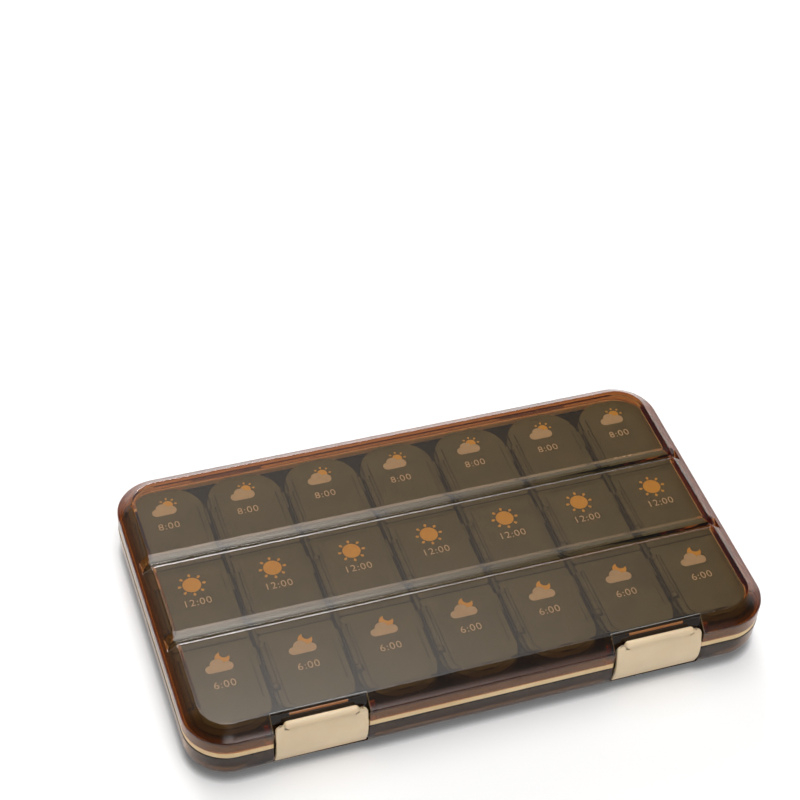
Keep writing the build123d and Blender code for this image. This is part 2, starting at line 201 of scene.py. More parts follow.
@dataclass(frozen=True)
class GrooveBrow:
    """The broad rounding where the lid's top falls into a groove from the front, in millimetres.

    It reaches as far before the edge as behind it. The clearance is what is cut above the lid.
    """

    groove_middles: tuple[float, float] = (-16.25, 19.35)
    groove_half_width: float = 2.9
    groove_depth: float = 1.9
    top: float = 25.0
    reach: float = 1.0
    half_length: float = 97.9
    steps: int = 6
    clearance: float = 0.4

    def profile(self, middle: float) -> list[tuple[float, float]]:
        """What is shaved off one groove's front edge.

        Args:
            middle: where the groove's middle lies along y.

        Returns:
            Points (y, z) in turn round the shaving, which reaches a little above the lid.
        """
        edge = middle - self.groove_half_width
        fall = math.atan2(self.groove_depth, self.groove_half_width)
        radius = self.reach / math.tan(fall / 2)
        start = edge - self.reach
        low = self.top - radius
        turns = [fall * step / self.steps for step in range(self.steps + 1)]
        points = [(start + radius * math.sin(turn), low + radius * math.cos(turn)) for turn in turns]
        last_y, last_z = points[-1]
        points.append((last_y + self.clearance * math.sin(fall), last_z + self.clearance * math.cos(fall)))
        points.append((edge, self.top + self.clearance))
        points.append((start, self.top + self.clearance))
        return points


@dataclass(frozen=True)
class SoftSky:
    """How bright the sky is towards each direction; spans are of the direction's x, y or z."""

    right_edge: Span = (0.05, 0.44)
    left_edge: Span = (-0.3, -0.05)
    front: Span = (-0.65, -0.45)
    front_light: Span = (0.4, 7.2)
    falls: tuple[tuple[Span, float], ...] = (((-0.3, 0.5), -2.6), ((0.54, 0.64), -3.2), ((0.64, 0.78), -0.8))
    strip: Span = (0.84, 0.91)
    strip_light: float = 14.0
    raised: Span = (0.04, 0.2)
    horizon: Span = (0.1, 0.45)
    horizon_light: Span = (1.0, 0.12)
    share_through: float = 0.4
    backdrop: float = 1.0


LID_PLASTIC = ClearFinish(
    absorption=(0.74, 0.50, 0.14),
    density=500.0,
    shadow_tint=(0.97, 0.95, 0.92),
    roughness=0.01,
    ior=1.5,
    wave_height=0.0015,
    wave_scale=25.0,
)
BASE_PLASTIC = ClearFinish(
    absorption=(0.70, 0.46, 0.16),
    density=500.0,
    shadow_tint=(0.9, 0.85, 0.78),
    roughness=0.01,
    ior=1.45,
    wave_height=0.0015,
    wave_scale=25.0,
)
RIM_TINT = RimTint()
WALL_TINT = WallTint()
BOX = SolidFinish(
    color=(0.040, 0.044, 0.026),
    second_color=(0.052, 0.056, 0.034),
    mottle_scale=90.0,
    roughness=0.16,
    grain_scale=1500.0,
    grain_height=0.01,
    alpha=0.97,
)
CELL_LID = SolidFinish(
    color=(0.042, 0.047, 0.026),
    second_color=(0.052, 0.057, 0.032),
    mottle_scale=120.0,
    roughness=0.2,
    grain_scale=1800.0,
    grain_height=0.002,
    alpha=0.97,
    # Painted shade on the sides of the raised panel's step.
    step_shade_band=(19.0, 19.05, 19.33, 19.38),
    line_color=(0.012, 0.013, 0.009),
)
SEAL = SolidFinish(
    color=(0.74, 0.52, 0.27),
    second_color=(0.80, 0.59, 0.33),
    mottle_scale=60.0,
    roughness=0.42,
    grain_scale=3500.0,
    grain_height=0.02,
    subsurface=0.15,
)
LATCH = SolidFinish(
    color=(0.72, 0.56, 0.36),
    second_color=(0.78, 0.62, 0.41),
    mottle_scale=45.0,
    roughness=0.34,
    grain_scale=2600.0,
    grain_height=0.02,
    subsurface=0.2,
    # Painted edge shade on the latch.
    edge_shade_color=(0.72, 0.45, 0.22),
)
STEEL = SolidFinish(
    color=(0.58, 0.57, 0.56),
    second_color=(0.50, 0.49, 0.48),
    mottle_scale=400.0,
    roughness=0.28,
    grain_scale=4000.0,
    grain_height=0.02,
    metallic=1.0,
)


def ink(color: Color, second_color: Color) -> SolidFinish:
    """A matt printing ink that varies between two near colours."""
    return SolidFinish(
        color=color,
        second_color=second_color,
        mottle_scale=700.0,
        roughness=0.5,
        grain_scale=5000.0,
        grain_height=0.01,
    )


SUN_INK = ink((0.49, 0.29, 0.024), (0.53, 0.32, 0.028))
CLOUD_INK = ink((0.35, 0.32, 0.28), (0.39, 0.36, 0.32))
LEGEND_INK = ink((0.44, 0.39, 0.34), (0.48, 0.43, 0.37))


class Graph:
    """A short way to fill one node tree."""

    def __init__(self, tree: bpy.types.NodeTree) -> None:
        self.tree = tree
        self.tree.nodes.clear()

    def add(self, kind: str, **settings: object) -> bpy.types.Node:
        """Add a node.

        Args:
            kind: the node's Blender type.
            settings: its attributes, such as operation or blend_type.

        Returns:
            The new node.
        """
        node = self.tree.nodes.new(kind)
        for name, value in settings.items():
            setattr(node, name, value)
        return node

    def link(self, start: Socket, end: Socket) -> None:
        """Link two sockets."""
        self.tree.links.new(start, end)

    def feed(self, value: Socket | float, end: Socket) -> None:
        """Link a socket to another, or set that one to a number."""
        if isinstance(value, Socket):
            self.link(value, end)
        else:
            end.default_value = value

    def maths(self, operation: str, first: Socket | float, second: Socket | float = 0.0) -> Socket:
        """A Math node on two sockets or numbers, and its result."""
        node = self.add("ShaderNodeMath", operation=operation)
        self.feed(first, node.inputs[0])
        self.feed(second, node.inputs[1])
        return node.outputs[0]

    def product(self, *factors: Socket | float) -> Socket:
        """All factors multiplied."""
        result, *others = factors
        for factor in others:
            result = self.maths("MULTIPLY", result, factor)
        return result

    def choose(self, amount: Socket, first: Socket | float, second: Socket | float) -> Socket:
        """The first value where the amount is zero and the second where it is one."""
        node = self.add("ShaderNodeMix", data_type="FLOAT")
        self.link(amount, node.inputs[0])
        self.feed(first, node.inputs[2])
        self.feed(second, node.inputs[3])
        return node.outputs[0]

    def ramp(self, value: Socket, source: Span, target: Span) -> Socket:
        """Ease a value smoothly from one range into another, held at both ends."""
        node = self.add("ShaderNodeMapRange", interpolation_type="SMOOTHSTEP", clamp=True)
        self.link(value, node.inputs["Value"])
        node.inputs["From Min"].default_value = source[0]
        node.inputs["From Max"].default_value = source[1]
        node.inputs["To Min"].default_value = target[0]
        node.inputs["To Max"].default_value = target[1]
        return node.outputs["Result"]

    def noise(self, scale: float, detail: float = 3.0) -> Socket:
        """Noise fixed to the object, at a scale given per metre."""
        place = self.add("ShaderNodeTexCoord")
        texture = self.add("ShaderNodeTexNoise")
        texture.inputs["Scale"].default_value = scale
        texture.inputs["Detail"].default_value = detail
        self.link(place.outputs["Object"], texture.inputs["Vector"])
        return texture.outputs["Fac"]

    def blend(self, amount: Socket, first: Color, second: Color) -> Socket:
        """Mix two colours by an amount."""
        node = self.add("ShaderNodeMix", data_type="RGBA")
        self.link(amount, node.inputs[0])
        node.inputs[6].default_value = (*first, 1.0)
        node.inputs[7].default_value = (*second, 1.0)
        return node.outputs[2]

    def inside(self, value: Socket, edges: Span) -> Socket:
        """Zero before the first edge and one past the second, with an even slope between."""
        node = self.add("ShaderNodeMapRange", clamp=True)
        self.link(value, node.inputs["Value"])
        rising = edges[0] < edges[1]
        low, high = sorted(edges)
        node.inputs["From Min"].default_value = low
        node.inputs["From Max"].default_value = high
        node.inputs["To Min"].default_value = 0.0 if rising else 1.0
        node.inputs["To Max"].default_value = 1.0 if rising else 0.0
        return node.outputs["Result"]

    def within(self, value: Socket, band: Band) -> Socket:
        """One between the band's two middle edges and zero outside its ends."""
        low, start, end, high = band
        return self.product(self.inside(value, (low, start)), self.inside(value, (high, end)))

    def place(self) -> list[Socket]:
        """The point's own place on the object as x, y and z in millimetres."""
        coordinates = self.add("ShaderNodeTexCoord")
        split = self.add("ShaderNodeSeparateXYZ")
        self.link(coordinates.outputs["Object"], split.inputs[0])
        return [self.maths("MULTIPLY", axis, 1.0 / MM) for axis in split.outputs]

    def blend_onto(self, amount: Socket, under: Socket, over: Color) -> Socket:
        """Lay a plain colour over a coloured socket by an amount."""
        node = self.add("ShaderNodeMix", data_type="RGBA")
        self.link(amount, node.inputs[0])
        self.link(under, node.inputs[6])
        node.inputs[7].default_value = (*over, 1.0)
        return node.outputs[2]

    def bump(self, height: Socket, depth: float) -> Socket:
        """Turn a height into a normal; depth is in millimetres."""
        node = self.add("ShaderNodeBump")
        node.inputs["Distance"].default_value = depth * MM
        node.inputs["Strength"].default_value = BUMP_STRENGTH
        self.link(height, node.inputs["Height"])
        return node.outputs["Normal"]


class Finishes:
    """Makes each material once, by name."""

    def __init__(self) -> None:
        self.made: dict[str, bpy.types.Material] = {}

    def outside(self, graph: Graph, tint: RimTint, x: Socket, y: Socket) -> Socket:
        """How far a point is outside the case's rounded outline, in millimetres."""
        squares = []
        for place, half in ((x, tint.half_length), (y, tint.half_depth)):
            over = graph.maths("SUBTRACT", graph.maths("ABSOLUTE", place), half - tint.corner)
            squares.append(graph.maths("POWER", graph.maths("MAXIMUM", over, 0.0), 2.0))
        return graph.maths("SUBTRACT", graph.maths("SQRT", graph.maths("ADD", *squares)), tint.corner)

    def walls(self, graph: Graph, tint: WallTint, surface: bpy.types.Node) -> None:
        """Paint shade on the tub's front wall, with lighter amber behind it.

        Args:
            graph: the material's graph.
            tint: where and how much.
            surface: the shader that gets the colour.
        """
        # Painted shade at the front, lighter amber behind.
        behind = graph.inside(graph.place()[1], tint.behind)
        graph.link(graph.blend(behind, tint.front_shade_color, tint.color), surface.inputs["Base Color"])
        surface.inputs["Transmission Weight"].default_value = 1.0

    def rim(self, graph: Graph, tint: RimTint, surface: bpy.types.Node) -> None:
        """Deepen the lid at its rim; paint shade on its front rim and in its pockets,
        and paint a glow into its milky skirt and its pocket ribs.

        Args:
            graph: the material's graph.
            tint: where and how much.
            surface: the shader that gets the colour and the clearness.
        """
        x, y, z = graph.place()
        edge = graph.inside(self.outside(graph, tint, x, y), tint.inset)
        # Painted shade on the front rim.
        front = graph.product(edge, graph.inside(y, tint.front))
        skirt = graph.product(edge, graph.inside(z, tint.skirt))
        aside = graph.maths("SUBTRACT", graph.maths("ABSOLUTE", x), tint.pocket_middle)
        along = graph.maths("ABSOLUTE", aside)
        # Painted shade in the latch pockets.
        pocket_shade = graph.product(graph.inside(along, tint.pocket_reach), graph.inside(y, tint.pocket_front))
        # Painted glow on the ribs inside the pockets.
        rib_glow = graph.product(graph.within(z, tint.rib_band), graph.inside(along, tint.rib_reach), pocket_shade)
        color = graph.blend(edge, (1.0, 1.0, 1.0), tint.color)
        layers = (
            (front, tint.front_shade_color),
            (skirt, tint.skirt_glow_color),
            (pocket_shade, tint.pocket_shade_color),
            (rib_glow, tint.rib_glow_color),
        )
        for amount, over in layers:
            color = graph.blend_onto(amount, color, over)
        graph.link(color, surface.inputs["Base Color"])
        # Milkiness here shows the painted skirt glow and the painted pocket shade.
        glowing_skirt = graph.product(skirt, tint.skirt_glow_milkiness)
        milky = graph.maths("MAXIMUM", glowing_skirt, graph.product(pocket_shade, tint.pocket_shade_milkiness))
        graph.link(graph.maths("SUBTRACT", 1.0, milky), surface.inputs["Transmission Weight"])

    def clear(self, name: str, finish: ClearFinish, tint: RimTint | WallTint) -> bpy.types.Material:
        """A refracting plastic that darkens with the length of the way through it and lets shadows through.

        Args:
            name: the material's name.
            finish: its absorption and surface.
            tint: how its colour and clearness differ from place to place.

        Returns:
            The material.
        """
        if name in self.made:
            return self.made[name]
        material = bpy.data.materials.new(name)
        material.use_nodes = True
        graph = Graph(material.node_tree)
        surface = graph.add("ShaderNodeBsdfPrincipled")
        surface.inputs["IOR"].default_value = finish.ior
        if isinstance(tint, RimTint):
            self.rim(graph, tint, surface)
        else:
            self.walls(graph, tint, surface)
        patches = graph.noise(finish.wave_scale * finish.patches)
        gloss = graph.ramp(patches, NOISE_SPAN, (finish.roughness * finish.smoothest, finish.roughness))
        graph.link(gloss, surface.inputs["Roughness"])
        graph.link(graph.bump(graph.noise(finish.wave_scale), finish.wave_height), surface.inputs["Normal"])
        shade = graph.add("ShaderNodeBsdfTransparent")
        shade.inputs["Color"].default_value = (*finish.shadow_tint, 1.0)
        path = graph.add("ShaderNodeLightPath")
        both = graph.add("ShaderNodeMixShader")
        graph.link(path.outputs["Is Shadow Ray"], both.inputs[0])
        graph.link(surface.outputs[0], both.inputs[1])
        graph.link(shade.outputs[0], both.inputs[2])
        body = graph.add("ShaderNodeVolumeAbsorption")
        body.inputs["Color"].default_value = (*finish.absorption, 1.0)
        body.inputs["Density"].default_value = finish.density
        output = graph.add("ShaderNodeOutputMaterial")
        graph.link(both.outputs[0], output.inputs["Surface"])
        graph.link(body.outputs[0], output.inputs["Volume"])
        self.made[name] = material
        return material

    def solid(self, name: str, finish: SolidFinish) -> bpy.types.Material:
        """A plastic, rubber, metal or ink with mottled colour, fine grain and uneven gloss.

        Args:
            name: the material's name.
            finish: its colours and surface.

        Returns:
            The material.
        """
        if name in self.made:
            return self.made[name]
        material = bpy.data.materials.new(name)
        material.use_nodes = True
        graph = Graph(material.node_tree)
        surface = graph.add("ShaderNodeBsdfPrincipled")
        mottle = graph.ramp(graph.noise(finish.mottle_scale), NOISE_SPAN, (0.0, 1.0))
        color = graph.blend(mottle, finish.color, finish.second_color)
        # Painted edge shade where the surface turns from the view.
        if finish.edge_shade_color:
            facing = graph.add("ShaderNodeLayerWeight")
            facing.inputs["Blend"].default_value = finish.edge_blend
            turned_shade = graph.ramp(facing.outputs["Facing"], finish.edge_span, (0.0, finish.edge_share))
            color = graph.blend_onto(turned_shade, color, finish.edge_shade_color)
        # Painted shade: darken the faces within the band along z.
        if finish.step_shade_band:
            line = graph.within(graph.place()[2], finish.step_shade_band)
            color = graph.blend_onto(line, color, finish.line_color)
        graph.link(color, surface.inputs["Base Color"])
        grain = graph.noise(finish.grain_scale, 2.0)
        graph.link(graph.bump(grain, finish.grain_height), surface.inputs["Normal"])
        gloss = graph.ramp(mottle, (0.0, 1.0), (finish.roughness, finish.roughness * finish.dullest))
        graph.link(gloss, surface.inputs["Roughness"])
        surface.inputs["Metallic"].default_value = finish.metallic
        surface.inputs["Alpha"].default_value = finish.alpha
        if finish.subsurface:
            surface.inputs["Subsurface Weight"].default_value = finish.subsurface
            surface.inputs["Subsurface Radius"].default_value = finish.subsurface_radius
            surface.inputs["Subsurface Scale"].default_value = finish.subsurface_depth * MM
        output = graph.add("ShaderNodeOutputMaterial")
        graph.link(surface.outputs[0], output.inputs["Surface"])
        self.made[name] = material
        return material


FINISHES = Finishes()


def object_from(form: bmesh.types.BMesh, name: str) -> bpy.types.Object:
    """Turn a bmesh into a linked object at the origin and free the bmesh."""
    mesh = bpy.data.meshes.new(name)
    form.normal_update()
    form.to_mesh(mesh)
    form.free()
    made = bpy.data.objects.new(name, mesh)
    bpy.context.scene.collection.objects.link(made)
    return made


def drawn_out(outline: Sequence[Point], way: Point, name: str) -> bpy.types.Object:
    """A straight closed solid between a flat outline and the same outline moved.

    Args:
        outline: corners in turn, in metres.
        way: how far the far outline is moved along each axis, in metres.
        name: the solid's name.

    Returns:
        The solid.
    """
    form = bmesh.new()
    face = form.faces.new([form.verts.new(corner) for corner in outline])
    grown = bmesh.ops.extrude_face_region(form, geom=[face])
    far = [item for item in grown["geom"] if isinstance(item, bmesh.types.BMVert)]
    bmesh.ops.translate(form, verts=far, vec=way)
    bmesh.ops.recalc_face_normals(form, faces=form.faces)
    return object_from(form, name)


def remove(*used: bpy.types.Object) -> None:
    """Delete helper objects."""
    for one in used:
        bpy.data.objects.remove(one, do_unlink=True)


def applied(target: bpy.types.Object) -> None:
    """Replace an object's mesh by what its modifiers make of it."""
    bpy.context.view_layer.update()
    graph = bpy.context.evaluated_depsgraph_get()
    mesh = bpy.data.meshes.new_from_object(target.evaluated_get(graph))
    target.modifiers.clear()
    target.data = mesh


def boolean(target: bpy.types.Object, tools: Iterable[bpy.types.Object], operation: str) -> None:
    """Cut, join or intersect one object with others, which are used up."""
    for tool in tools:
        step = target.modifiers.new("step", "BOOLEAN")
        step.operation = operation
        step.solver = "EXACT"
        step.object = tool
        applied(target)
        remove(tool)


def cad_copy(node: str, name: str) -> bpy.types.Object:
    """A merged copy of one CAD node's mesh, with flat stretches made into single faces."""
    form = bmesh.new()
    form.from_mesh(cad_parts[node].data)
    bmesh.ops.remove_doubles(form, verts=form.verts, dist=MERGE_DISTANCE)
    bmesh.ops.dissolve_limit(
        form,
        angle_limit=FLAT_ANGLE,
        verts=form.verts,
        edges=form.edges,
        delimit={"NORMAL"},
    )
    return object_from(form, name)


def round_edges(piece: bpy.types.Object, rounding: EdgeRounding) -> None:
    """Give a piece narrow rounded edges and smooth shading."""
    form = bmesh.new()
    form.from_mesh(piece.data)
    weights = form.edges.layers.float.new("bevel_weight_edge")
    for edge in form.edges:
        bent = len(edge.link_faces) == 2 and edge.calc_face_angle(0.0) > math.radians(rounding.least_bend)
        if bent and edge.calc_length() >= rounding.shortest * MM:
            edge[weights] = 1.0
    for face in form.faces:
        face.smooth = True
    form.to_mesh(piece.data)
    form.free()
    piece.data.set_sharp_from_angle(angle=math.radians(rounding.least_bend))
    bevel = piece.modifiers.new("rounding", "BEVEL")
    bevel.width = rounding.width * MM
    bevel.segments = rounding.segments
    bevel.limit_method = "WEIGHT"
    bevel.use_clamp_overlap = False
    weld = piece.modifiers.new("weld", "WELD")
    weld.merge_threshold = rounding.weld * MM
    flat = piece.modifiers.new("flat_faces", "WEIGHTED_NORMAL")
    flat.mode = "FACE_AREA"
    flat.weight = 100
    flat.keep_sharp = True


def finish_piece(
    piece: bpy.types.Object,
    body: str,
    materials: Sequence[bpy.types.Material],
    nodes: Sequence[str] = (),
) -> None:
    """Dress a piece, seat it on its body and hide the CAD nodes that it stands for.

    Args:
        piece: the finished piece.
        body: the body that it moves with.
        materials: what its faces' material numbers count through.
        nodes: the CAD nodes that it stands for, if any.
    """
    for material in materials:
        piece.data.materials.append(material)
    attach(piece, body)
    if nodes:
        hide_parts(*nodes)
    LOG.info("made %s on %s", piece.name, body)


@dataclass
class OuterCase:
    """The clear tub and its hinged clear lid, whose grooves have a broad front edge."""

    rounding: EdgeRounding = field(default_factory=lambda: EdgeRounding(0.3, 3, 32.0, 1.2))
    lid_rounding: EdgeRounding = field(default_factory=lambda: EdgeRounding(0.3, 3, 28.0, 1.2))
    brow: GrooveBrow = field(default_factory=GrooveBrow)

    def shave(self, lid: bpy.types.Object) -> None:
        """Round the grooves' front edges broadly."""
        half = self.brow.half_length * MM
        tools = []
        for middle in self.brow.groove_middles:
            outline = [(-half, y * MM, z * MM) for y, z in self.brow.profile(middle)]
            tools.append(drawn_out(outline, (2 * half, 0.0, 0.0), "brow_tool"))
        boolean(lid, tools, "DIFFERENCE")

    def build(self) -> dict[str, bpy.types.Object]:
        """Copy both shells and round their moulded edges.

        Returns:
            The new pieces by node name.
        """
        pieces = {node: cad_copy(node, f"{node}_shell") for node in ("outer_base", "outer_lid")}
        self.shave(pieces["outer_lid"])
        round_edges(pieces["outer_base"], self.rounding)
        round_edges(pieces["outer_lid"], self.lid_rounding)
        return pieces

    def dress(self, pieces: dict[str, bpy.types.Object]) -> None:
        """Give both shells the clear smoky plastic."""
        tub = FINISHES.clear("base_plastic", BASE_PLASTIC, WALL_TINT)
        cover = FINISHES.clear("lid_plastic", LID_PLASTIC, RIM_TINT)
        finish_piece(pieces["outer_base"], "base", [tub], ["outer_base"])
        finish_piece(pieces["outer_lid"], "case_lid", [cover], ["outer_lid"])


@dataclass
class SealRing:
    """The pale soft stripe between the shells."""

    rounding: EdgeRounding = field(default_factory=lambda: EdgeRounding(0.35, 3))

    def build(self) -> bpy.types.Object:
        """Copy the ring and round its outer edges."""
        piece = cad_copy("seal_ring", "seal_stripe")
        round_edges(piece, self.rounding)
        return piece

    def dress(self, piece: bpy.types.Object) -> None:
        """Give it cream rubber."""
        finish_piece(piece, "base", [FINISHES.solid("seal_rubber", SEAL)], ["seal_ring"])


@dataclass
class Latch:
    """One bowed latch with a finger bead; the plate's corners are rounded here."""

    side: str
    top_corner: float = 2.0
    foot_corner: float = 0.7
    bead_radius: float = 1.35
    corner_steps: int = 8
    rounding: EdgeRounding = field(default_factory=lambda: EdgeRounding(0.4, 4, 38.0))

    def outline(self, low: Vector, high: Vector) -> list[tuple[float, float]]:
        """The plate's front view with rounded corners, left open over the bead.

        Args:
            low: lowest corner of the CAD latch, in metres.
            high: highest corner of it.

        Returns:
            Points (x, z) in metres, in turn round the outline.
        """
        left, right = low.x, high.x
        foot = low.z
        shoulder = high.z - self.bead_radius * MM
        roof = high.z + MM
        points: list[tuple[float, float]] = []

        def corner(x: float, z: float, radius: float, start: float) -> None:
            for step in range(self.corner_steps + 1):
                angle = math.radians(start + 90.0 * step / self.corner_steps)
                points.append((x + radius * math.cos(angle), z + radius * math.sin(angle)))

        low_r = self.foot_corner * MM
        top_r = self.top_corner * MM
        corner(left + low_r, foot + low_r, low_r, 180.0)
        corner(right - low_r, foot + low_r, low_r, 270.0)
        corner(right - top_r, shoulder - top_r, top_r, 0.0)
        points.append((right - top_r, roof))
        points.append((left + top_r, roof))
        corner(left + top_r, shoulder - top_r, top_r, 90.0)
        return points

    def build(self) -> bpy.types.Object:
        """Round the plate's corners and its edges."""
        node = f"latch_{self.side}"
        low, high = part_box(node)
        piece = cad_copy(node, f"{node}_plate")
        front = [(x, low.y - MM, z) for x, z in self.outline(low, high)]
        tool = drawn_out(front, (0.0, high.y - low.y + 2 * MM, 0.0), "corner_tool")
        boolean(piece, [tool], "INTERSECT")
        round_edges(piece, self.rounding)
        return piece

    def dress(self, piece: bpy.types.Object) -> None:
        """Give it cream plastic."""
        node = f"latch_{self.side}"
        finish_piece(piece, node, [FINISHES.solid("latch_plastic", LATCH)], [node])


@dataclass
class DayBox:
    """One lift-out box of three cells."""

    day: int
    rounding: EdgeRounding = field(default_factory=lambda: EdgeRounding(0.15, 2, 50.0))

    def build(self) -> bpy.types.Object:
        """Copy the box and round its rim."""
        piece = cad_copy(f"day_box_{self.day}", f"day_box_{self.day}_tray")
        round_edges(piece, self.rounding)
        return piece

    def dress(self, piece: bpy.types.Object) -> None:
        """Give it half-clear smoky plastic."""
        plastic = FINISHES.solid("box_plastic", BOX)
        finish_piece(piece, "base", [plastic], [f"day_box_{self.day}"])


@dataclass
class CellLid:
    """One flip lid with its stubs, its tab and its raised panel."""

    day: int
    row: Row
    rounding: EdgeRounding = field(default_factory=lambda: EdgeRounding(0.3, 3, 50.0, 0.8))

    @property
    def node(self) -> str:
        """The CAD node and body this lid belongs to."""
        return f"cell_lid_{self.day}_{self.row.value}"

    def build(self) -> bpy.types.Object:
        """Copy the lid and round its edges."""
        piece = cad_copy(self.node, f"{self.node}_plate")
        round_edges(piece, self.rounding)
        return piece

    def dress(self, piece: bpy.types.Object) -> None:
        """Give it smoky plastic."""
        plastic = FINISHES.solid("cell_plastic", CELL_LID)
        finish_piece(piece, self.node, [plastic], [self.node])


@dataclass(frozen=True)
class Disc:
    """A round blob of a pictogram, in millimetres from the pictogram's middle."""

    x: float
    y: float
    radius: float


@dataclass
class MarkMaker:
    """Draws the printed pictograms and clock numbers as thin closed prints."""

    thickness: float = 0.05
    sink: float = 0.01
    steps: int = 48
    sun_radius: float = 3.25
    ray_reach: float = 4.3
    ray_length: float = 0.68
    ray_width: float = 0.48
    ray_taper: float = 0.35
    small_sun_disc: Disc = Disc(1.9, 2.05, 1.85)
    small_ray_reach: float = 2.85
    small_ray_size: float = 0.75
    small_ray_angles: tuple[float, ...] = (0.0, 45.0, 90.0, 135.0)
    moon: Disc = Disc(1.9, 2.9, 2.5)
    moon_bite: Disc = Disc(2.95, 4.5, 1.7)
    legend_height: float = 3.0
    legend_drop: float = 8.1
    legend_spacing: float = 1.12
    legend_thinning: float = 0.02
    legend_curve_steps: int = 6
    capital_share: float = 0.72
    gap: float = 0.06
    overcut: float = 0.05
    morning_cloud: tuple[Disc, ...] = (Disc(-2.7, -0.9, 1.75), Disc(-0.5, 0.55, 2.3), Disc(2.5, -0.65, 2.0))
    evening_cloud: tuple[Disc, ...] = (Disc(-3.2, -1.0, 1.65), Disc(-0.5, 0.5, 2.4), Disc(3.0, -0.7, 1.85))

    def plate(self, points: Sequence[tuple[float, float]], name: str, extra: float = 0.0) -> bpy.types.Object:
        """A thin closed plate over an outline given in millimetres."""
        foot = -(self.sink + extra) * MM
        height = (self.thickness + self.sink + 2 * extra) * MM
        return drawn_out([(x * MM, y * MM, foot) for x, y in points], (0.0, 0.0, height), name)

    def disc(self, blob: Disc, name: str = "disc", grow: float = 0.0, extra: float = 0.0) -> bpy.types.Object:
        """A round plate."""
        radius = blob.radius + grow
        turn = [2 * math.pi * step / self.steps for step in range(self.steps)]
        points = [(blob.x + radius * math.cos(a), blob.y + radius * math.sin(a)) for a in turn]
        return self.plate(points, name, extra)

    def ray(self, sun: Disc, reach: float, angle: float, size: float = 1.0) -> bpy.types.Object:
        """A drop-shaped dot that points away from a sun's middle.

        Args:
            sun: the sun's disc.
            reach: from the sun's middle to the drop's.
            angle: the drop's direction in degrees, from +X towards +Y.
            size: its size as a share of the midday sun's drops.

        Returns:
            The drop.
        """
        cosine, sine = math.cos(math.radians(angle)), math.sin(math.radians(angle))
        points = []
        for step in range(self.steps // 2):
            turn = 4 * math.pi * step / self.steps
            along = reach + size * self.ray_length * math.cos(turn)
            across = size * self.ray_width * math.sin(turn) * (1 + self.ray_taper * math.cos(turn))
            points.append((sun.x + along * cosine - across * sine, sun.y + along * sine + across * cosine))
        return self.plate(points, "ray")

    def cloud(self, blobs: Sequence[Disc], grow: float = 0.0, extra: float = 0.0) -> bpy.types.Object:
        """Three joined discs on a straight foot."""
        first, middle, last = blobs
        foot = min(first.y - first.radius, last.y - last.radius) - grow
        body = self.disc(middle, "cloud", grow, extra)
        ends = [Disc(end.x, foot + end.radius + grow, end.radius) for end in (first, last)]
        base = [(first.x, foot), (last.x, foot), (last.x, ends[1].y), (first.x, ends[0].y)]
        tools = [self.disc(end, "end", grow, extra) for end in ends]
        tools.append(self.plate(base, "foot", extra))
        boolean(body, tools, "UNION")
        return body

    def joined(self, parts: Sequence[bpy.types.Object], inks: Sequence[int], name: str) -> bpy.types.Object:
        """Join prints into one mesh, each with its ink's material number."""
        form = bmesh.new()
        for part, number in zip(parts, inks):
            before = len(form.faces)
            form.from_mesh(part.data)
            form.faces.ensure_lookup_table()
            for face in form.faces[before:]:
                face.material_index = number
                face.smooth = False
        remove(*parts)
        return object_from(form, name)

    def sun(self) -> list[bpy.types.Object]:
        """The midday sun: a disc and eight drops."""
        sun = Disc(0.0, 0.0, self.sun_radius)
        rays = [self.ray(sun, self.ray_reach, 45.0 * step) for step in range(8)]
        return [self.disc(sun, "sun"), *rays]

    def small_sun(self) -> list[bpy.types.Object]:
        """The morning sun that rises behind the cloud."""
        sun = self.small_sun_disc
        disc = self.disc(sun, "small_sun")
        boolean(disc, [self.cloud(self.morning_cloud, self.gap, self.overcut)], "DIFFERENCE")
        reach, size = self.small_ray_reach, self.small_ray_size
        return [disc, *(self.ray(sun, reach, angle, size) for angle in self.small_ray_angles)]

    def crescent(self) -> bpy.types.Object:
        """The evening crescent behind the cloud."""
        moon = self.disc(self.moon, "moon")
        bite = self.disc(self.moon_bite, "bite", 0.0, self.overcut)
        boolean(moon, [bite, self.cloud(self.evening_cloud, self.gap, self.overcut)], "DIFFERENCE")
        return moon

    def legend(self, words: str) -> bpy.types.Object:
        """Thin plain clock numbers."""
        curve = bpy.data.curves.new("legend", "FONT")
        curve.body = words
        curve.align_x = "CENTER"
        curve.align_y = "CENTER"
        curve.size = self.legend_height / self.capital_share * MM
        curve.space_character = self.legend_spacing
        curve.offset = -self.legend_thinning * MM
        curve.extrude = (self.thickness + self.sink) / 2 * MM
        curve.resolution_u = self.legend_curve_steps
        text = bpy.data.objects.new("legend", curve)
        bpy.context.scene.collection.objects.link(text)
        bpy.context.view_layer.update()
        graph = bpy.context.evaluated_depsgraph_get()
        mesh = bpy.data.meshes.new_from_object(text.evaluated_get(graph))
        remove(text)
        form = bmesh.new()
        form.from_mesh(mesh)
        bmesh.ops.remove_doubles(form, verts=form.verts, dist=MERGE_DISTANCE)
        drop = (0, -self.legend_drop * MM, (self.thickness - self.sink) / 2 * MM)
        bmesh.ops.translate(form, verts=form.verts, vec=drop)
        bmesh.ops.recalc_face_normals(form, faces=form.faces)
        return object_from(form, "legend_print")

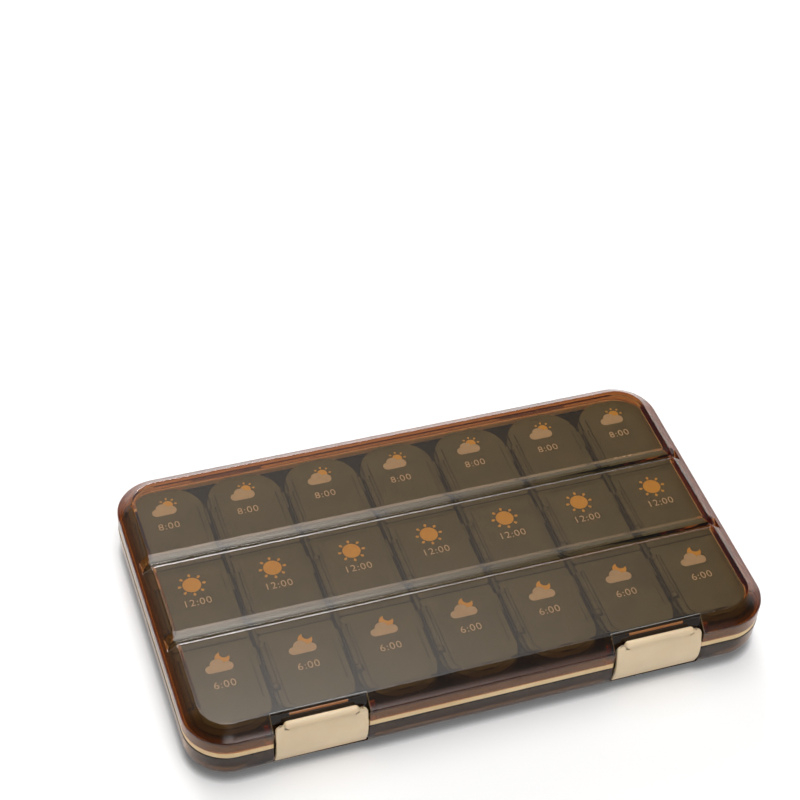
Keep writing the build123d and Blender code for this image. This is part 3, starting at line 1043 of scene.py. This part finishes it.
    def mark(self, row: Row) -> bpy.types.Object:
        """One row's whole print: pictogram and clock number.

        Args:
            row: the dose.

        Returns:
            A print whose middle is the pictogram's middle, on the plane z = 0.
        """
        if row is Row.MIDDAY:
            parts = self.sun()
            inks = [0] * len(parts)
            words = "12:00"
        elif row is Row.MORNING:
            parts = self.small_sun()
            inks = [0] * len(parts) + [1]
            parts.append(self.cloud(self.morning_cloud))
            words = "8:00"
        else:
            parts = [self.crescent(), self.cloud(self.evening_cloud)]
            inks = [0, 1]
            words = "6:00"
        parts.append(self.legend(words))
        inks.append(2)
        return self.joined(parts, inks, f"print_{row.value}")


@dataclass
class PrintedMarks:
    """The 21 prints, each on its own cell lid; places are a shift from the day's middle, and y."""

    maker: MarkMaker = field(default_factory=MarkMaker)
    places: dict[Row, tuple[float, float]] = field(
        default_factory=lambda: {
            Row.EVENING: (0.31, -27.7),
            Row.MIDDAY: (0.37, 9.0),
            Row.MORNING: (-0.57, 45.85),
        }
    )
    pitch: float = 29.0
    plate_thickness: float = 1.4
    raised_height: float = 0.4

    def build(self) -> list[tuple[bpy.types.Object, str]]:
        """Draw three prints and copy each along the days.

        Returns:
            Each print with the body that it rides on.
        """
        made = []
        for row, (shift, y) in self.places.items():
            pattern = self.maker.mark(row)
            for day in DAYS:
                node = f"cell_lid_{day}_{row.value}"
                x = self.pitch * (day - 4) + shift
                low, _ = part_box(node)
                surface = low.z + (self.plate_thickness + self.raised_height) * MM
                form = bmesh.new()
                form.from_mesh(pattern.data)
                bmesh.ops.translate(form, verts=form.verts, vec=(x * MM, y * MM, surface))
                made.append((object_from(form, f"{node}_print"), node))
            remove(pattern)
        return made

    def dress(self, prints: Sequence[tuple[bpy.types.Object, str]]) -> None:
        """Ink each print."""
        inks = [
            FINISHES.solid("sun_ink", SUN_INK),
            FINISHES.solid("cloud_ink", CLOUD_INK),
            FINISHES.solid("legend_ink", LEGEND_INK),
        ]
        for piece, body in prints:
            finish_piece(piece, body, inks)


@dataclass
class Pins:
    """The steel pins of the hinges and latches, kept as the CAD made them."""

    def dress(self) -> None:
        """Give each pin drawn steel."""
        steel = FINISHES.solid("pin_steel", STEEL)
        for side in SIDES:
            for kind in ("hinge", "latch"):
                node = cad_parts[f"{kind}_pin_{side}"]
                node.data.materials.clear()
                node.data.materials.append(steel)


@dataclass
class Studio:
    """Floor, soft sky and camera; the floor's half width is in metres, the reach of its painted contact
    shadow in millimetres.
    """

    floor_half: float = 3.0
    floor_color: Color = (0.92, 0.92, 0.92)
    floor_glow: float = 0.14
    # Painted contact shadow near the object: its colour, reach, softness and samples.
    contact_shadow_color: Color = (0.10, 0.11, 0.12)
    contact_shadow_reach: float = 4.5
    contact_shadow_span: Span = (0.4, 0.97)
    contact_shadow_samples: int = 8
    light: SoftSky = field(default_factory=SoftSky)
    fit: CameraFit = field(default_factory=CameraFit)

    def build(self) -> None:
        """Make the floor, the sky and the camera."""
        self.floor()
        self.sky()
        self.camera()

    def floor(self) -> None:
        """A pale floor that shows white where nothing shades it, with a contact shadow painted into its
        colour near the object for the camera only.
        """
        form = bmesh.new()
        bmesh.ops.create_grid(form, x_segments=1, y_segments=1, size=self.floor_half)
        floor = object_from(form, "floor")
        material = bpy.data.materials.new("studio_floor")
        material.use_nodes = True
        graph = Graph(material.node_tree)
        matte = graph.add("ShaderNodeBsdfDiffuse")
        path = graph.add("ShaderNodeLightPath")
        # Painted contact shadow: ambient occlusion darkens the floor's colour near the object, for camera
        # rays only.
        near = graph.add("ShaderNodeAmbientOcclusion", samples=self.contact_shadow_samples)
        near.inputs["Distance"].default_value = self.contact_shadow_reach * MM
        open_air = graph.ramp(near.outputs["AO"], self.contact_shadow_span, (0.0, 1.0))
        beyond = graph.maths("SUBTRACT", 1.0, path.outputs["Is Camera Ray"])
        contact = graph.maths("MAXIMUM", open_air, beyond)
        graph.link(graph.blend(contact, self.contact_shadow_color, self.floor_color), matte.inputs["Color"])
        glow = graph.add("ShaderNodeEmission")
        seen = graph.maths("MAXIMUM", path.outputs["Is Camera Ray"], path.outputs["Is Transmission Ray"])
        graph.link(graph.maths("MULTIPLY", seen, self.floor_glow), glow.inputs["Strength"])
        both = graph.add("ShaderNodeAddShader")
        graph.link(matte.outputs[0], both.inputs[0])
        graph.link(glow.outputs[0], both.inputs[1])
        output = graph.add("ShaderNodeOutputMaterial")
        graph.link(both.outputs[0], output.inputs["Surface"])
        floor.data.materials.append(material)

    def sky(self) -> None:
        """A white backdrop, and for reflections a long soft light over the front with a strip behind it."""
        light = self.light
        world = bpy.data.worlds.new("studio")
        world.use_nodes = True
        graph = Graph(world.node_tree)
        place = graph.add("ShaderNodeTexCoord")
        split = graph.add("ShaderNodeSeparateXYZ")
        graph.link(place.outputs["Generated"], split.inputs[0])
        x, y, z = split.outputs
        length = graph.ramp(y, light.front, light.front_light)
        for reach, drop in light.falls:
            length = graph.maths("ADD", length, graph.ramp(y, reach, (0.0, drop)))
        strip = graph.ramp(y, light.strip, (0.0, light.strip_light))
        raised = graph.ramp(z, light.raised, (0.0, 1.0))
        right_edge = graph.ramp(x, light.right_edge, (1.0, 0.0))
        left_edge = graph.ramp(x, light.left_edge, (0.0, 1.0))
        across = graph.product(right_edge, left_edge, raised)
        horizon = graph.ramp(z, light.horizon, light.horizon_light)
        calm = graph.maths("ADD", graph.product(across, length), horizon)
        soft = graph.maths("ADD", calm, graph.product(across, strip))
        through = graph.maths("MAXIMUM", graph.product(calm, light.share_through), light.backdrop)
        path = graph.add("ShaderNodeLightPath")
        strength = graph.choose(path.outputs["Is Transmission Ray"], soft, through)
        strength = graph.choose(path.outputs["Is Camera Ray"], strength, light.backdrop)
        back = graph.add("ShaderNodeBackground")
        graph.link(strength, back.inputs["Strength"])
        output = graph.add("ShaderNodeOutputWorld")
        graph.link(back.outputs[0], output.inputs["Surface"])
        bpy.context.scene.world = world

    def camera(self) -> None:
        """A camera at the photograph's place."""
        data = bpy.data.cameras.new("camera")
        data.lens = self.fit.lens
        data.sensor_width = self.fit.sensor
        data.clip_start = 0.01
        data.clip_end = 20.0
        camera = bpy.data.objects.new("camera", data)
        bpy.context.scene.collection.objects.link(camera)
        forward = Vector(self.fit.forward).normalized()
        right = forward.cross(Vector(self.fit.up)).normalized()
        up = right.cross(forward)
        turn = Matrix((right, up, -forward)).transposed()
        camera.matrix_world = Matrix.Translation(Vector(self.fit.place) * MM) @ turn.to_4x4()
        bpy.context.scene.camera = camera


def main() -> None:
    """Build and dress the whole object."""
    bpy.context.scene.view_settings.view_transform = "Standard"
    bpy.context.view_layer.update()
    Studio().build()
    case = OuterCase()
    case.dress(case.build())
    seal = SealRing()
    seal.dress(seal.build())
    for side in SIDES:
        latch = Latch(side)
        latch.dress(latch.build())
    for day in DAYS:
        box = DayBox(day)
        box.dress(box.build())
        for row in Row:
            lid = CellLid(day, row)
            lid.dress(lid.build())
    marks = PrintedMarks()
    marks.dress(marks.build())
    Pins().dress()


if __name__ == "__main__":
    main()
